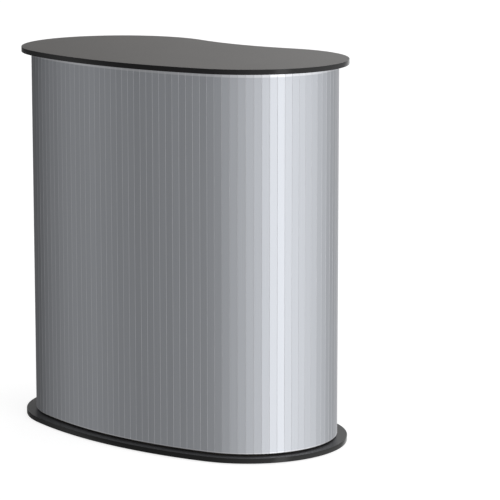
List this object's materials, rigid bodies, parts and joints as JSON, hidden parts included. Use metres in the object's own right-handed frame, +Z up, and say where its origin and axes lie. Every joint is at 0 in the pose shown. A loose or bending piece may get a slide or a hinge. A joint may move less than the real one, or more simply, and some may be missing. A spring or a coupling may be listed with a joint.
{
  "type": "lectern podium",
  "caption": "Kidney-shaped portable lectern podium: flat top and base boards on four posts, an inner shelf, and a wrap of upright silver slats that is open at the back.",
  "frame": {"origin": "on the floor, under the centre of the object's bounding box", "axes": "+Z up; -Y is the long front that the audience sees; +Y is the open back where the speaker stands; X runs along the width and the object is mirror-symmetric about X = 0"},
  "size_m": [0.8998, 0.506, 0.92],
  "materials": {
    "laminate": "charcoal laminate on board, fine satin texture",
    "edge_band": "black ABS edge band, satin",
    "plywood": "plywood core plate",
    "slats": "brushed silver, fine vertical grain",
    "hook_and_loop": "black woven hook-and-loop tape",
    "aluminium": "satin anodised tube and trim",
    "nylon": "black moulded nylon",
    "nylon_collar": "black moulded nylon, ribbed grip",
    "rubber": "matt black rubber"
  },
  "bodies": {
    "podium": {"base_board": "laminate", "base_edge_band": "edge_band", "base_core_plate": "plywood", "base_loop_tape": "hook_and_loop", "top_board": "laminate", "top_edge_band": "edge_band", "top_core_plate": "plywood", "top_loop_tape": "hook_and_loop", "wrap_side_left": "slats", "wrap_front_left": "slats", "wrap_front": "slats", "wrap_front_right": "slats", "wrap_side_right": "slats", "hook_tape_base": "hook_and_loop", "hook_tape_top": "hook_and_loop", "base_socket_front_left": "nylon", "top_socket_front_left": "nylon", "post_front_left": "aluminium", "shelf_rest_front_left": "nylon", "base_socket_front_right": "nylon", "top_socket_front_right": "nylon", "post_front_right": "aluminium", "shelf_rest_front_right": "nylon", "base_socket_rear_left": "nylon", "top_socket_rear_left": "nylon", "post_rear_left": "aluminium", "shelf_rest_rear_left": "nylon", "base_socket_rear_right": "nylon", "top_socket_rear_right": "nylon", "post_rear_right": "aluminium", "shelf_rest_rear_right": "nylon", "shelf_board": "laminate", "shelf_edge_band": "edge_band", "foot_front": "rubber", "foot_left": "rubber", "foot_right": "rubber", "foot_rear_left": "rubber", "foot_rear_right": "rubber"},
    "base_collar_front_left": {"base_collar_front_left": "nylon_collar"},
    "top_collar_front_left": {"top_collar_front_left": "nylon_collar"},
    "base_collar_front_right": {"base_collar_front_right": "nylon_collar"},
    "top_collar_front_right": {"top_collar_front_right": "nylon_collar"},
    "base_collar_rear_left": {"base_collar_rear_left": "nylon_collar"},
    "top_collar_rear_left": {"top_collar_rear_left": "nylon_collar"},
    "base_collar_rear_right": {"base_collar_rear_right": "nylon_collar"},
    "top_collar_rear_right": {"top_collar_rear_right": "nylon_collar"},
    "wrap_fold_left": {"wrap_fold_left": "slats", "fold_hook_base_left": "hook_and_loop", "fold_hook_top_left": "hook_and_loop"},
    "wrap_tip_left": {"wrap_tip_left": "slats", "tip_hook_base_left": "hook_and_loop", "tip_hook_top_left": "hook_and_loop", "end_trim_left": "aluminium"},
    "wrap_fold_right": {"wrap_fold_right": "slats", "fold_hook_base_right": "hook_and_loop", "fold_hook_top_right": "hook_and_loop"},
    "wrap_tip_right": {"wrap_tip_right": "slats", "tip_hook_base_right": "hook_and_loop", "tip_hook_top_right": "hook_and_loop", "end_trim_right": "aluminium"}
  },
  "joints": [
    {"name": "base_lock_front_left", "type": "hinge", "parent": "podium", "child": "base_collar_front_left", "pos_m": [-0.25, -0.135, 0.06], "axis": [0, 0, 1], "range_deg": [0, 90]},
    {"name": "top_lock_front_left", "type": "hinge", "parent": "podium", "child": "top_collar_front_left", "pos_m": [-0.25, -0.135, 0.863], "axis": [0, 0, -1], "range_deg": [0, 90]},
    {"name": "base_lock_front_right", "type": "hinge", "parent": "podium", "child": "base_collar_front_right", "pos_m": [0.25, -0.135, 0.06], "axis": [0, 0, 1], "range_deg": [0, 90]},
    {"name": "top_lock_front_right", "type": "hinge", "parent": "podium", "child": "top_collar_front_right", "pos_m": [0.25, -0.135, 0.863], "axis": [0, 0, -1], "range_deg": [0, 90]},
    {"name": "base_lock_rear_left", "type": "hinge", "parent": "podium", "child": "base_collar_rear_left", "pos_m": [-0.212, 0.172, 0.06], "axis": [0, 0, 1], "range_deg": [0, 90]},
    {"name": "top_lock_rear_left", "type": "hinge", "parent": "podium", "child": "top_collar_rear_left", "pos_m": [-0.212, 0.172, 0.863], "axis": [0, 0, -1], "range_deg": [0, 90]},
    {"name": "base_lock_rear_right", "type": "hinge", "parent": "podium", "child": "base_collar_rear_right", "pos_m": [0.212, 0.172, 0.06], "axis": [0, 0, 1], "range_deg": [0, 90]},
    {"name": "top_lock_rear_right", "type": "hinge", "parent": "podium", "child": "top_collar_rear_right", "pos_m": [0.212, 0.172, 0.863], "axis": [0, 0, -1], "range_deg": [0, 90]},
    {"name": "wrap_fold_left_peel", "type": "hinge", "parent": "podium", "child": "wrap_fold_left", "pos_m": [-0.3492, 0.17482, 0.4615], "axis": [0, 0, 1], "range_deg": [0, 12]},
    {"name": "wrap_tip_left_peel", "type": "hinge", "parent": "wrap_fold_left", "child": "wrap_tip_left", "pos_m": [-0.30375, 0.20461, 0.4615], "axis": [0, 0, 1], "range_deg": [0, 12]},
    {"name": "wrap_fold_right_peel", "type": "hinge", "parent": "podium", "child": "wrap_fold_right", "pos_m": [0.3492, 0.17482, 0.4615], "axis": [0, 0, -1], "range_deg": [0, 12]},
    {"name": "wrap_tip_right_peel", "type": "hinge", "parent": "wrap_fold_right", "child": "wrap_tip_right", "pos_m": [0.30375, 0.20461, 0.4615], "axis": [0, 0, -1], "range_deg": [0, 12]}
  ],
  "couplings": [
    {"joint": "wrap_tip_left_peel", "follows": "wrap_fold_left_peel", "ratio": 1},
    {"joint": "wrap_tip_right_peel", "follows": "wrap_fold_right_peel", "ratio": 1}
  ]
}
